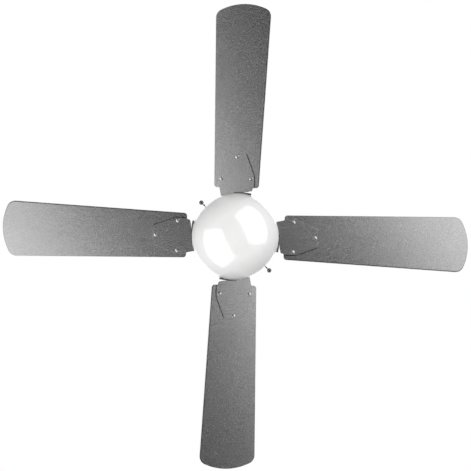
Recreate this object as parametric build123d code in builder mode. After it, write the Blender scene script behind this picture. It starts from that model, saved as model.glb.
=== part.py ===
"""Ceiling fan with four pitched blades on stamped irons, a down rod, a glass light bowl and two pull chains.

Millimetres, +Z up. The origin is the centre of the bracket's face that meets the ceiling, so the fan hangs
below it. The first blade points along +X. Seen from the floor the fan turns counter-clockwise, so on the
first blade the edge towards -Y leads and is the higher one.
"""

import math
import os

from build123d import *

os.makedirs("parts", exist_ok=True)

# Clearances
running_gap = 0.3  # between faces of pieces that move past each other
seat_gap = 0.05  # radial play of a piece seated in another
screw_play = 0.3  # radial play of a screw in its hole
hole_floor = 0.5  # space past the end of a screw in a blind hole

# Ceiling bracket and ball
bracket_width = 36
bracket_thickness = 2.5
ceiling_screw_spacing = 89
ceiling_slot_length = 14
ceiling_slot_width = 6
wire_hole_radius = 9
ball_radius = 22
ball_depth = 34
ball_above = 15
ball_below = 17
rod_stub = 1
cup_wall = 3
cup_slot_play = 1.5
cup_drop = 16
cup_rim_drop = 7
strap_width = 16
canopy_tab_width = 18
canopy_tab_height = 15
ball_pin_radius = 3
ball_pin_length = 36

# Canopy
canopy_radius = 65
canopy_depth = 58
canopy_wall = 1.2
canopy_rim = 20
canopy_foot_radius = 30
canopy_hole_radius = 19
ceiling_gap = 1
canopy_screw_drop = 9

# Down rod
rod_radius = 10.5
rod_wall = 2.5
rod_length = 145
rod_insert = 30

# Screws
small_screw_radius = 2
small_head_radius = 4
small_head_height = 2.4
iron_screw_radius = 3
iron_head_radius = 5.5
iron_head_height = 3
blade_screw_radius = 2.2
blade_head_radius = 4.4
blade_head_height = 2.2
yoke_bolt_radius = 3
yoke_bolt_head_height = 3.5
yoke_nut_width = 10

# Yoke and its cover
yoke_radius = 17
yoke_web = 10
yoke_stop = 2
yoke_flange_radius = 34
yoke_flange_thickness = 3
yoke_bolt_rise = 14
yoke_bolt_end = 1
yoke_set_screw_rise = 6
yoke_set_screw_radius = 2.5
yoke_set_screw_length = 9
housing_screw_circle = 26
cover_radius = 37
cover_wall = 1.2
cover_height = 52
cover_shoulder = 16

# Motor
shaft_radius = 7.5
shaft_bore_radius = 4.5
bearing_radius = 17.5
bearing_width = 11
bearing_ring = 3
bearing_seal_thickness = 0.8
bearing_seal_inset = 0.5
core_height = 20
core_slots = 16
core_slot_width = 6
core_slot_inner = 27
core_slot_outer = 54
core_slot_mouth = 2.4
winding_inner = 29
winding_outer = 52
winding_height = 7
winding_edge = 2
winding_space = 5
air_gap = 0.5
rotor_ring_inner = 60.4
rotor_ring_outer = 72
bell_radius = 76
bell_plate = 5
bell_shoulder = 6
bell_edge = 3
bell_lip = 1.5
bell_hub_wall = 4
bell_eye_radius = 13
rotor_screws_count = 4
rotor_screw_circle = 68
rotor_screw_reach = 16
rotor_top_gap = 5

# Motor housing
housing_radius = 90
housing_wall = 1.5
housing_shoulder = 14
housing_rotor_gap = 4
vent_count = 12
vent_length = 20
vent_width = 4
vent_circle = 58

# Blades and irons
blade_count = 4
sweep_radius = 525
blade_root_radius = 110
blade_root_chord = 102.8
blade_tip_chord = 128
blade_thickness = 5.5
blade_pitch = 14
blade_root_corner = 7
blade_tip_arc = 123
blade_tip_corner = 19
blade_edge = 0.7
blade_lead = 2.5  # of the blade's centre line ahead of the fan's radius
iron_thickness = 3
iron_inner_radius = 44
iron_bend_gap = 11
iron_riser_run = 8.5
iron_notch_inset = 1.5
iron_notch_length = 4.7
iron_notch_width = 38
iron_neck_width = 76.6
iron_width = 83.6
iron_flare = 13
iron_straight = 29
iron_taper = 46
iron_end_width = 43
iron_corner = 4
iron_inner_corner = 8
iron_screw_circle = 60
iron_screw_spacing = 34
pad_screw_inset = 20
pad_screw_spacing = 69
pad_end_screw_inset = 7.5

# Switch housing
switch_drop = 7.5
shaft_nut_height = 5
shaft_nut_width = 24
shaft_end = 10
plate_thickness = 2
plate_radius = 57
plate_rim_height = 10
plate_rim_wall = 1.8
switch_housing_wall = 1.5
switch_housing_height = 34
switch_housing_rise = 1
switch_screw_count = 3
switch_screw_drop = 6
switch_screw_start = 30
capacitor_length = 44
capacitor_width = 17
capacitor_height = 22
capacitor_edge = 3
capacitor_offset = 37
reverse_body_length = 24
reverse_body_depth = 9
reverse_body_height = 12
reverse_body_wall = 2
reverse_knob_width = 4
reverse_knob_height = 4
reverse_knob_reach = 4
reverse_travel = 6
reverse_drop = 20

# Light pan and pull switches
pan_radius = 90
pan_wall = 1.5
pan_height = 22
pan_edge = 3
nipple_radius = 5
nipple_bore_radius = 3.5
nipple_end = 2
nipple_nut_width = 14
nipple_nut_height = 4
pull_switch_width = 26
pull_switch_height = 11
pull_switch_wall = 2
pull_switch_circle = 62
drum_radius = 8
drum_height = 6
drum_post_radius = 2.5
drum_flange = 1
drum_flange_thickness = 0.8
rivet_lip = 1.5
rivet_thickness = 0.8
pull_travel = 12

# Pull chains and their guides
chain_angle = 42.66
chain_diameter = 2.4
chain_circle = 96.4
chain_length = 162
guide_wall = 0.6
guide_bend = 3
guide_cover = 2
guide_drop = 7
guide_collar_radius = 4
guide_collar_thickness = 1.5
guide_stub = 3
fob_length = 24
fob_radius = 4.5
fob_top_radius = 1.8

# Lamps
lamp_bracket_length = 24
lamp_bracket_width = 22
lamp_bracket_thickness = 2
lamp_drop = 29
lamp_holder_radius = 13
lamp_holder_length = 18
lamp_holder_wall = 4
bulb_base_radius = 6.8
bulb_neck_radius = 9
bulb_neck_length = 6
bulb_radius = 20
bulb_cone = 14
bulb_length = 46
bulb_tip_radius = 12

# Glass bowl
glass_radius = 94.5
glass_neck_radius = 83.6
glass_wall = 3
glass_neck_height = 12
glass_neck_above = 10
glass_shoulder = 14
glass_depth = 88
bowl_side_radius = 72
collar_wall = 1.7
collar_height = 10
lug_depth = 2.4
lug_height = 3
lug_arc = 24
lug_count = 3
pan_tab_depth = 2.6
pan_tab_height = 2
pan_tab_rise = 3

# Levels, all below the ceiling
ball_z = -ball_depth
rod_top = ball_z + ball_above + rod_stub
rod_bottom = rod_top - rod_length
yoke_top = rod_bottom + rod_insert
yoke_bottom = rod_bottom - yoke_web - yoke_flange_thickness
deck_top = yoke_bottom
deck_bottom = deck_top - housing_wall
rotor_top = deck_bottom - rotor_top_gap
upper_bearing_top = rotor_top - bell_lip
upper_plate_bottom = upper_bearing_top - bearing_width
core_top = upper_plate_bottom - winding_space - winding_height
rotor_middle = core_top - core_height / 2
core_bottom = core_top - core_height
rotor_bottom = 2 * rotor_middle - rotor_top
bell_underside = 2 * rotor_middle - upper_plate_bottom - bell_plate
housing_bottom = bell_underside + housing_rotor_gap
plate_top = rotor_bottom - switch_drop
plate_bottom = plate_top - plate_thickness
switch_housing_top = plate_top + switch_housing_rise
switch_housing_bottom = switch_housing_top - switch_housing_height
pan_top = switch_housing_bottom
pan_inside = pan_top - pan_wall
pan_bottom = pan_top - pan_height
guide_z = pan_top - guide_drop
leg_top = guide_z - guide_bend
leg_bottom = leg_top - pull_travel - guide_cover
chain_top = leg_top - running_gap
chain_bottom = chain_top - chain_length
tab_top = pan_bottom + pan_tab_rise + pan_tab_height
lug_bottom = tab_top + running_gap
neck_top = pan_bottom + glass_neck_above
neck_bottom = neck_top - glass_neck_height
shoulder_turn = math.degrees(math.acos((glass_neck_radius - glass_radius + glass_shoulder) / glass_shoulder))
glass_middle = neck_bottom - glass_shoulder * math.sin(math.radians(shoulder_turn))
lamp_z = pan_inside - lamp_drop

blade_step = 360 / blade_count
chain_directions = {"speed": chain_angle, "light": chain_angle + 180}


def radial_plane(angle, radius, height):
    """A plane square to a radius of the fan, at that radius and height, with its normal outwards."""
    turn = math.radians(angle)
    outward = (math.cos(turn), math.sin(turn), 0)
    return Plane(origin=(radius * outward[0], radius * outward[1], height),
                 x_dir=(-outward[1], outward[0], 0), z_dir=outward)


def screw(shank_radius, shank_length, head_radius, head_height):
    """A pan-head screw that stands head up, with the underside of its head at the origin."""
    with BuildPart() as made:
        with BuildSketch(Plane.XY.offset(-shank_length)):
            Circle(shank_radius)
        extrude(amount=shank_length)
        with BuildSketch(Plane.XY):
            Circle(head_radius)
        extrude(amount=head_height)
    return made.part


def hex_nut(width, height, bore_radius):
    """A hexagon nut that stands on the origin."""
    with BuildPart() as made:
        with BuildSketch(Plane.XY):
            RegularPolygon(width / 2, 6, major_radius=False)
            Circle(bore_radius, mode=Mode.SUBTRACT)
        extrude(amount=height)
    return made.part


def ring_sector(inner, outer, bottom, height, arc):
    """A piece of a flat ring about Z, half its arc either side of +X."""
    with BuildPart() as made:
        with BuildSketch(Plane.XZ):
            with Locations(((inner + outer) / 2, bottom + height / 2)):
                Rectangle(outer - inner, height)
        revolve(axis=Axis.Z, revolution_arc=arc)
    return made.part.rotate(Axis.Z, -arc / 2)


# Ceiling bracket: a plate for the ceiling box, two canopy tabs, and a cup on two straps for the ball
canopy_screw_z = -ceiling_gap - canopy_screw_drop
bracket_radius = canopy_radius - canopy_wall - seat_gap
cup_seat_radius = ball_radius + running_gap
cup_radius = cup_seat_radius + cup_wall
cup_bottom = ball_z - cup_drop
canopy_tab_planes = [
    radial_plane(side, bracket_radius - 2 * bracket_thickness, canopy_screw_z) for side in (0, 180)
]
with BuildPart() as hanger_bracket:
    with BuildSketch(Plane.XY.offset(-bracket_thickness)):
        Circle(bracket_radius)
        Rectangle(2 * bracket_radius, bracket_width, mode=Mode.INTERSECT)
        Circle(wire_hole_radius, mode=Mode.SUBTRACT)
        with GridLocations(ceiling_screw_spacing, 0, 2, 1):
            SlotOverall(ceiling_slot_length, ceiling_slot_width, mode=Mode.SUBTRACT)
    extrude(amount=bracket_thickness)
    with BuildSketch(Plane.XY.offset(-canopy_tab_height)):
        Circle(bracket_radius)
        Circle(bracket_radius - bracket_thickness, mode=Mode.SUBTRACT)
        Rectangle(2 * bracket_radius, canopy_tab_width, mode=Mode.INTERSECT)
    extrude(amount=canopy_tab_height)
    with BuildSketch(Plane.XY.offset(cup_bottom)):
        with Locations((0, -strap_width / 2)):
            Rectangle(2 * cup_radius, strap_width)
        Circle(cup_radius, mode=Mode.INTERSECT)
        Circle(cup_seat_radius + running_gap, mode=Mode.SUBTRACT)
    extrude(amount=-cup_bottom)
    with BuildSketch(Plane.XY.offset(cup_bottom)):
        Circle(cup_radius)
    extrude(amount=cup_drop - cup_rim_drop)
    with Locations((0, 0, ball_z)):
        Sphere(cup_seat_radius, mode=Mode.SUBTRACT)
    with BuildSketch(Plane.XY.offset(cup_bottom)):
        with Locations((0, cup_radius / 2)):
            Rectangle(2 * (rod_radius + cup_slot_play), cup_radius)
    extrude(amount=cup_drop, mode=Mode.SUBTRACT)
    with BuildSketch(*canopy_tab_planes):
        Circle(small_screw_radius + seat_gap)
    extrude(amount=3 * bracket_thickness, mode=Mode.SUBTRACT)
hanger_bracket.part.label = "hanger_bracket"
export_step(hanger_bracket.part, "parts/hanger_bracket.step")

# Canopy: a spun cone with a straight rim, which hides the bracket
with BuildPart() as canopy:
    with BuildSketch(Plane.XZ):
        with BuildLine():
            Polyline(
                (0, -ceiling_gap),
                (canopy_radius, -ceiling_gap),
                (canopy_radius, -ceiling_gap - canopy_rim),
                (canopy_foot_radius, -ceiling_gap - canopy_depth),
                (0, -ceiling_gap - canopy_depth),
                close=True,
            )
        make_face()
    revolve(axis=Axis.Z)
    offset(amount=-canopy_wall, openings=canopy.faces().sort_by(Axis.Z)[-1])
    with BuildSketch(Plane.XY.offset(-ceiling_gap - canopy_depth)):
        Circle(canopy_hole_radius)
    extrude(amount=2 * canopy_wall, mode=Mode.SUBTRACT)
    with BuildSketch(*canopy_tab_planes):
        Circle(small_screw_radius + screw_play)
    extrude(amount=canopy_radius - bracket_radius + 3 * bracket_thickness, mode=Mode.SUBTRACT)
canopy.part.label = "canopy"
export_step(canopy.part, "parts/canopy.step")

canopy_screw = screw(
    small_screw_radius, canopy_wall + 2 * bracket_thickness, small_head_radius, small_head_height
)
with BuildPart() as canopy_screws:
    for side in (0, 180):
        add(radial_plane(side, canopy_radius, canopy_screw_z).location * canopy_screw)
canopy_screws.part.label = "canopy_screws"
export_step(canopy_screws.part, "parts/canopy_screws.step")

# Ball and the pin that holds the down rod in it
with BuildPart() as hanger_ball:
    with Locations((0, 0, ball_z)):
        Sphere(ball_radius)
    with BuildSketch(Plane.XY.offset(ball_z - ball_below)):
        Circle(ball_radius)
        Circle(rod_radius + seat_gap, mode=Mode.SUBTRACT)
    extrude(amount=ball_below + ball_above, mode=Mode.INTERSECT)
    with BuildSketch(Plane.YZ):
        with Locations((0, ball_z)):
            Circle(ball_pin_radius + seat_gap)
    extrude(amount=ball_radius, both=True, mode=Mode.SUBTRACT)
hanger_ball.part.label = "hanger_ball"
export_step(hanger_ball.part, "parts/hanger_ball.step")

with BuildPart() as ball_pin:
    with BuildSketch(Plane.YZ):
        with Locations((0, ball_z)):
            Circle(ball_pin_radius)
    extrude(amount=ball_pin_length / 2, both=True)
ball_pin.part.label = "ball_pin"
export_step(ball_pin.part, "parts/ball_pin.step")

# Down rod, cross-drilled for the ball pin and the yoke bolt
yoke_bolt_z = rod_bottom + yoke_bolt_rise
with BuildPart() as downrod:
    with BuildSketch(Plane.XY.offset(rod_bottom)):
        Circle(rod_radius)
        Circle(rod_radius - rod_wall, mode=Mode.SUBTRACT)
    extrude(amount=rod_length)
    with BuildSketch(Plane.YZ):
        with Locations((0, ball_z)):
            Circle(ball_pin_radius + seat_gap)
        with Locations((0, yoke_bolt_z)):
            Circle(yoke_bolt_radius + seat_gap)
    extrude(amount=rod_radius, both=True, mode=Mode.SUBTRACT)
downrod.part.label = "downrod"
export_step(downrod.part, "parts/downrod.step")

# Yoke: takes the rod above and the motor shaft below, with a flange that carries the housing
shaft_top = rod_bottom - yoke_stop
with BuildPart() as motor_yoke:
    with BuildSketch(Plane.XZ):
        with BuildLine():
            Polyline(
                (rod_radius + seat_gap, yoke_top),
                (yoke_radius, yoke_top),
                (yoke_radius, deck_top + yoke_flange_thickness),
                (yoke_flange_radius, deck_top + yoke_flange_thickness),
                (yoke_flange_radius, deck_top),
                (shaft_radius + seat_gap, deck_top),
                (shaft_radius + seat_gap, shaft_top),
                (shaft_bore_radius, shaft_top),
                (shaft_bore_radius, rod_bottom),
                (rod_radius + seat_gap, rod_bottom),
                close=True,
            )
        make_face()
    revolve(axis=Axis.Z)
    with BuildSketch(Plane.YZ):
        with Locations((0, yoke_bolt_z)):
            Circle(yoke_bolt_radius + seat_gap)
    extrude(amount=yoke_radius, both=True, mode=Mode.SUBTRACT)
    with BuildSketch(Plane.XZ):
        with Locations((0, rod_bottom + yoke_set_screw_rise)):
            Circle(yoke_set_screw_radius + seat_gap)
    extrude(amount=yoke_radius, both=True, mode=Mode.SUBTRACT)
    with BuildSketch(Plane.XY.offset(deck_top)):
        with PolarLocations(housing_screw_circle, 4, start_angle=45):
            Circle(small_screw_radius + screw_play)
    extrude(amount=yoke_flange_thickness, mode=Mode.SUBTRACT)
motor_yoke.part.label = "motor_yoke"
export_step(motor_yoke.part, "parts/motor_yoke.step")

yoke_nut = hex_nut(yoke_nut_width, yoke_bolt_head_height, yoke_bolt_radius + seat_gap)
with BuildPart() as yoke_bolt:
    with BuildSketch(Plane.YZ.offset(-yoke_radius - yoke_bolt_head_height - yoke_bolt_end)):
        with Locations((0, yoke_bolt_z)):
            Circle(yoke_bolt_radius)
    extrude(amount=2 * yoke_radius + yoke_bolt_head_height + yoke_bolt_end)
    with BuildSketch(Plane.YZ.offset(yoke_radius)):
        with Locations((0, yoke_bolt_z)):
            RegularPolygon(yoke_nut_width / 2, 6, major_radius=False)
    extrude(amount=yoke_bolt_head_height)
    add(radial_plane(180, yoke_radius, yoke_bolt_z).location * yoke_nut)
yoke_bolt.part.label = "yoke_bolt"
export_step(yoke_bolt.part, "parts/yoke_bolt.step")

with BuildPart() as yoke_set_screws:
    for side in (90, 270):
        with BuildSketch(radial_plane(side, rod_radius, rod_bottom + yoke_set_screw_rise)):
            Circle(yoke_set_screw_radius)
        extrude(amount=yoke_set_screw_length)
yoke_set_screws.part.label = "yoke_set_screws"
export_step(yoke_set_screws.part, "parts/yoke_set_screws.step")

# Cover over the yoke
with BuildPart() as yoke_cover:
    with BuildSketch(Plane.XY.offset(deck_top)):
        Circle(cover_radius)
    extrude(amount=cover_height)
    chamfer(yoke_cover.faces().sort_by(Axis.Z)[-1].edges(), cover_shoulder)
    offset(amount=-cover_wall, openings=yoke_cover.faces().sort_by(Axis.Z)[0])
    with BuildSketch(Plane.XY.offset(deck_top)):
        Circle(rod_radius + seat_gap)
    extrude(amount=cover_height, mode=Mode.SUBTRACT)
yoke_cover.part.label = "yoke_cover"
export_step(yoke_cover.part, "parts/yoke_cover.step")

# Motor housing: a drawn cup, open below, with a ring of vents in its deck
with BuildPart() as upper_housing:
    with BuildSketch(Plane.XY.offset(housing_bottom)):
        Circle(housing_radius)
    extrude(amount=deck_top - housing_bottom)
    chamfer(upper_housing.faces().sort_by(Axis.Z)[-1].edges(), housing_shoulder)
    offset(amount=-housing_wall, openings=upper_housing.faces().sort_by(Axis.Z)[0])
    with BuildSketch(Plane.XY.offset(deck_bottom)):
        Circle(shaft_radius + screw_play)
        with PolarLocations(housing_screw_circle, 4, start_angle=45):
            Circle(small_screw_radius + seat_gap)
        with PolarLocations(vent_circle, vent_count):
            SlotOverall(vent_length, vent_width)
    extrude(amount=housing_wall, mode=Mode.SUBTRACT)
upper_housing.part.label = "upper_housing"
export_step(upper_housing.part, "parts/upper_housing.step")

housing_screw = screw(
    small_screw_radius, yoke_flange_thickness + 2 * housing_wall, small_head_radius, small_head_height
)
with BuildPart() as housing_screws:
    with Locations((0, 0, deck_top + yoke_flange_thickness)):
        with PolarLocations(housing_screw_circle, 4, start_angle=45):
            add(housing_screw)
housing_screws.part.label = "housing_screws"
export_step(housing_screws.part, "parts/housing_screws.step")

# Fixed half of the motor: hollow shaft, laminated core and its windings
shaft_bottom = plate_bottom - shaft_nut_height - shaft_end
core_radius = rotor_ring_inner - air_gap
with BuildPart() as motor_shaft:
    with BuildSketch(Plane.XY.offset(shaft_bottom)):
        Circle(shaft_radius)
        Circle(shaft_bore_radius, mode=Mode.SUBTRACT)
    extrude(amount=shaft_top - shaft_bottom)
motor_shaft.part.label = "motor_shaft"
export_step(motor_shaft.part, "parts/motor_shaft.step")

with BuildPart() as stator_core:
    with BuildSketch(Plane.XY.offset(core_bottom)):
        Circle(core_radius)
        Circle(shaft_radius + seat_gap, mode=Mode.SUBTRACT)
        with PolarLocations((core_slot_inner + core_slot_outer) / 2, core_slots):
            Rectangle(core_slot_outer - core_slot_inner, core_slot_width, mode=Mode.SUBTRACT)
        with PolarLocations(core_radius, core_slots):
            Rectangle(2 * (core_radius - core_slot_outer), core_slot_mouth, mode=Mode.SUBTRACT)
    extrude(amount=core_height)
stator_core.part.label = "stator_core"
export_step(stator_core.part, "parts/stator_core.step")

with BuildPart() as stator_coils:
    for ring_bottom in (core_top, core_bottom - winding_height):
        with BuildSketch(Plane.XZ) as winding:
            with Locations(((winding_inner + winding_outer) / 2, ring_bottom + winding_height / 2)):
                Rectangle(winding_outer - winding_inner, winding_height)
            chamfer(winding.vertices(), winding_edge)
        revolve(axis=Axis.Z)
stator_coils.part.label = "stator_coils"
export_step(stator_coils.part, "parts/stator_coils.step")

# Ball bearings: one set in each rotor bell, with the balls behind thin seals
bearing_bottoms = (upper_plate_bottom, 2 * rotor_middle - upper_bearing_top)
inner_ring_radius = shaft_radius + bearing_ring
outer_ring_bore = bearing_radius - bearing_ring
with BuildPart() as bearing_inner_rings:
    for ring_bottom in bearing_bottoms:
        with BuildSketch(Plane.XY.offset(ring_bottom)):
            Circle(inner_ring_radius)
            Circle(shaft_radius + seat_gap, mode=Mode.SUBTRACT)
        extrude(amount=bearing_width)
bearing_inner_rings.part.label = "bearing_inner_rings"
export_step(bearing_inner_rings.part, "parts/bearing_inner_rings.step")

with BuildPart() as bearing_outer_rings:
    for ring_bottom in bearing_bottoms:
        with BuildSketch(Plane.XY.offset(ring_bottom)):
            Circle(bearing_radius)
            Circle(outer_ring_bore, mode=Mode.SUBTRACT)
        extrude(amount=bearing_width)
bearing_outer_rings.part.label = "bearing_outer_rings"
export_step(bearing_outer_rings.part, "parts/bearing_outer_rings.step")

with BuildPart() as bearing_seals:
    for ring_bottom in bearing_bottoms:
        for seal_rise in (bearing_seal_inset, bearing_width - bearing_seal_inset - bearing_seal_thickness):
            with BuildSketch(Plane.XY.offset(ring_bottom + seal_rise)):
                Circle(outer_ring_bore - seat_gap)
                Circle(inner_ring_radius + running_gap, mode=Mode.SUBTRACT)
            extrude(amount=bearing_seal_thickness)
bearing_seals.part.label = "bearing_seals"
export_step(bearing_seals.part, "parts/bearing_seals.step")

# Turning half of the motor: two like bells around a laminated ring
upper_plate_top = upper_plate_bottom + bell_plate
bell_hub_radius = bearing_radius + bell_hub_wall
bell_outline = (
    (bell_eye_radius, rotor_top),
    (bell_hub_radius, rotor_top),
    (bell_hub_radius, upper_plate_top),
    (bell_radius - bell_edge, upper_plate_top),
    (bell_radius, upper_plate_top - bell_edge),
    (bell_radius, rotor_middle),
    (rotor_ring_outer + seat_gap, rotor_middle),
    (rotor_ring_outer + seat_gap, core_top),
    (rotor_ring_outer - bell_shoulder, core_top),
    (rotor_ring_outer - bell_shoulder, upper_plate_bottom),
    (bearing_radius + seat_gap, upper_plate_bottom),
    (bearing_radius + seat_gap, upper_bearing_top),
    (bell_eye_radius, upper_bearing_top),
)
lower_bell_outline = [(radius, 2 * rotor_middle - height) for radius, height in bell_outline]
with BuildPart() as rotor_upper_bell:
    with BuildSketch(Plane.XZ):
        with BuildLine():
            Polyline(*bell_outline, close=True)
        make_face()
    revolve(axis=Axis.Z)
    with BuildSketch(Plane.XY.offset(upper_plate_top)):
        with PolarLocations(rotor_screw_circle, rotor_screws_count, start_angle=45):
            Circle(small_screw_radius + screw_play)
    extrude(amount=rotor_middle - upper_plate_top, mode=Mode.SUBTRACT)
rotor_upper_bell.part.label = "rotor_upper_bell"
export_step(rotor_upper_bell.part, "parts/rotor_upper_bell.step")

with BuildPart() as rotor_lower_bell:
    with BuildSketch(Plane.XZ):
        with BuildLine():
            Polyline(*lower_bell_outline, close=True)
        make_face()
    revolve(axis=Axis.Z)
    with BuildSketch(Plane.XY.offset(core_bottom)):
        with PolarLocations(rotor_screw_circle, rotor_screws_count, start_angle=45):
            Circle(small_screw_radius + seat_gap)
    extrude(amount=-rotor_screw_reach - hole_floor, mode=Mode.SUBTRACT)
    for blade_number in range(blade_count):
        with BuildSketch(Plane.XY.offset(bell_underside).rotated((0, 0, blade_step * blade_number))):
            with Locations((iron_screw_circle, -blade_lead)):
                with GridLocations(0, iron_screw_spacing, 1, 2):
                    Circle(iron_screw_radius + seat_gap)
        extrude(amount=bell_plate, mode=Mode.SUBTRACT)
rotor_lower_bell.part.label = "rotor_lower_bell"
export_step(rotor_lower_bell.part, "parts/rotor_lower_bell.step")

with BuildPart() as rotor_ring:
    with BuildSketch(Plane.XY.offset(core_bottom)):
        Circle(rotor_ring_outer)
        Circle(rotor_ring_inner, mode=Mode.SUBTRACT)
        with PolarLocations(rotor_screw_circle, rotor_screws_count, start_angle=45):
            Circle(small_screw_radius + screw_play, mode=Mode.SUBTRACT)
    extrude(amount=core_height)
rotor_ring.part.label = "rotor_ring"
export_step(rotor_ring.part, "parts/rotor_ring.step")

rotor_screw_length = upper_plate_top - core_bottom + rotor_screw_reach
rotor_screw = screw(small_screw_radius, rotor_screw_length, small_head_radius, small_head_height)
with BuildPart() as rotor_screws:
    with Locations((0, 0, upper_plate_top)):
        with PolarLocations(rotor_screw_circle, rotor_screws_count, start_angle=45):
            add(rotor_screw)
rotor_screws.part.label = "rotor_screws"
export_step(rotor_screws.part, "parts/rotor_screws.step")

# Blade irons: a level flange under the rotor, a wedge-shaped riser slit at the lower edge to let it bend,
# and a pad pitched with the blade
iron_bend_radius = blade_root_radius - iron_bend_gap
iron_flare_end = iron_bend_radius + iron_flare
iron_taper_start = iron_flare_end + iron_straight
iron_end_radius = iron_taper_start + iron_taper
pad_screw_radius = blade_root_radius + pad_screw_inset
pad_end_screw_radius = iron_end_radius - pad_end_screw_inset
pitch = math.radians(blade_pitch)
pad_inner_y = -blade_lead - iron_neck_width / 2 * math.cos(pitch)
pad_outer_y = -blade_lead + iron_neck_width / 2 * math.cos(pitch)
pad_drop = iron_neck_width * math.sin(pitch)
pad_plane = Plane(
    origin=(0, -blade_lead, bell_underside - pad_drop / 2),
    x_dir=(1, 0, 0),
    z_dir=(0, math.sin(pitch), math.cos(pitch)),
)
pad_screw_points = (
    (pad_screw_radius, -pad_screw_spacing / 2),
    (pad_screw_radius, pad_screw_spacing / 2),
    (pad_end_screw_radius, 0),
)
riser_plane = Plane(
    origin=(iron_bend_radius, pad_inner_y, bell_underside),
    x_dir=(0, 1, 0),
    z_dir=Vector(pad_drop, 0, iron_riser_run).normalized(),
)
riser_width = pad_outer_y - pad_inner_y
riser_length = math.hypot(pad_drop, iron_riser_run)
notch_start = iron_bend_radius + iron_notch_inset
with BuildPart() as iron:
    with BuildSketch(Plane.XY.offset(bell_underside - iron_thickness)) as flange:
        with BuildLine():
            Polyline(
                (iron_inner_radius, pad_inner_y),
                (iron_bend_radius, pad_inner_y),
                (iron_bend_radius, pad_outer_y),
                (iron_inner_radius, pad_outer_y),
                close=True,
            )
        make_face()
        fillet(flange.vertices().group_by(Axis.X)[0], iron_inner_corner)
        with Locations((iron_screw_circle, -blade_lead)):
            with GridLocations(0, iron_screw_spacing, 1, 2):
                Circle(iron_screw_radius + screw_play, mode=Mode.SUBTRACT)
    extrude(amount=iron_thickness)
    with BuildSketch(riser_plane):
        with BuildLine():
            Polyline((0, 0), (riser_width, 0), (riser_width, -riser_length), close=True)
        make_face()
    extrude(amount=-iron_thickness)
    with BuildSketch(pad_plane) as pad:
        with BuildLine():
            Polyline(
                (iron_bend_radius, -iron_neck_width / 2),
                (iron_flare_end, -iron_width / 2),
                (iron_taper_start, -iron_width / 2),
                (iron_end_radius, -iron_end_width / 2),
                (iron_end_radius, iron_end_width / 2),
                (iron_taper_start, iron_width / 2),
                (iron_flare_end, iron_width / 2),
                (iron_bend_radius + iron_riser_run, iron_neck_width / 2),
                (iron_bend_radius + iron_riser_run - iron_thickness, iron_neck_width / 2),
                close=True,
            )
        make_face()
        fillet(pad.vertices().group_by(Axis.X)[-1], iron_corner)
        with Locations(*pad_screw_points):
            Circle(blade_screw_radius + screw_play, mode=Mode.SUBTRACT)
    extrude(amount=-iron_thickness)
    with BuildSketch(Plane.XY.offset(bell_underside)):
        with BuildLine():
            Polyline(
                (notch_start, pad_outer_y + iron_thickness),
                (notch_start + iron_notch_length, pad_outer_y + iron_thickness),
                (notch_start, pad_outer_y - iron_notch_width),
                close=True,
            )
        make_face()
    extrude(amount=-pad_drop - 2 * iron_thickness, mode=Mode.SUBTRACT)

for blade_number in range(blade_count):
    with BuildPart() as blade_iron:
        add(iron.part.rotate(Axis.Z, blade_step * blade_number))
    blade_iron.part.label = f"blade_iron_{blade_number + 1}"
    export_step(blade_iron.part, f"parts/blade_iron_{blade_number + 1}.step")

iron_screw = screw(
    iron_screw_radius, iron_thickness + bell_plate - hole_floor, iron_head_radius, iron_head_height
)
with BuildPart() as one_iron_screws:
    with Locations((iron_screw_circle, -blade_lead, bell_underside - iron_thickness)):
        with GridLocations(0, iron_screw_spacing, 1, 2):
            add(iron_screw, rotation=(180, 0, 0))
with BuildPart() as iron_screws:
    with PolarLocations(0, blade_count):
        add(one_iron_screws.part)
iron_screws.part.label = "iron_screws"
export_step(iron_screws.part, "parts/iron_screws.step")

# Blades: flat tapered boards with a bowed tip, seated on the pads
tip_arc_centre = sweep_radius - blade_tip_arc
tip_corner_x = tip_arc_centre + math.sqrt(blade_tip_arc**2 - (blade_tip_chord / 2) ** 2)
blade_hole_depth = blade_thickness - 2 * hole_floor
with BuildPart() as board:
    with BuildSketch(pad_plane) as outline:
        with BuildLine():
            Polyline(
                (tip_corner_x, -blade_tip_chord / 2),
                (blade_root_radius, -blade_root_chord / 2),
                (blade_root_radius, blade_root_chord / 2),
                (tip_corner_x, blade_tip_chord / 2),
            )
            ThreePointArc(
                (tip_corner_x, blade_tip_chord / 2), (sweep_radius, 0), (tip_corner_x, -blade_tip_chord / 2)
            )
        make_face()
        fillet(outline.vertices().group_by(Axis.X)[0], blade_root_corner)
        fillet(outline.vertices().group_by(Axis.X)[-1], blade_tip_corner)
    extrude(amount=blade_thickness)
    chamfer(board.faces().sort_by(SortBy.AREA)[-2:].edges(), blade_edge)
    with BuildSketch(pad_plane):
        with Locations(*pad_screw_points):
            Circle(blade_screw_radius + seat_gap)
    extrude(amount=blade_hole_depth, mode=Mode.SUBTRACT)

for blade_number in range(blade_count):
    with BuildPart() as blade:
        add(board.part.rotate(Axis.Z, blade_step * blade_number))
    blade.part.label = f"blade_{blade_number + 1}"
    export_step(blade.part, f"parts/blade_{blade_number + 1}.step")

blade_screw = screw(
    blade_screw_radius, iron_thickness + blade_hole_depth - hole_floor, blade_head_radius, blade_head_height
)
with BuildPart() as one_blade_screws:
    with Locations(pad_plane.offset(-iron_thickness)):
        with Locations(*pad_screw_points):
            add(blade_screw, rotation=(180, 0, 0))
with BuildPart() as blade_screws:
    with PolarLocations(0, blade_count):
        add(one_blade_screws.part)
blade_screws.part.label = "blade_screws"
export_step(blade_screws.part, "parts/blade_screws.step")

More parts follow.
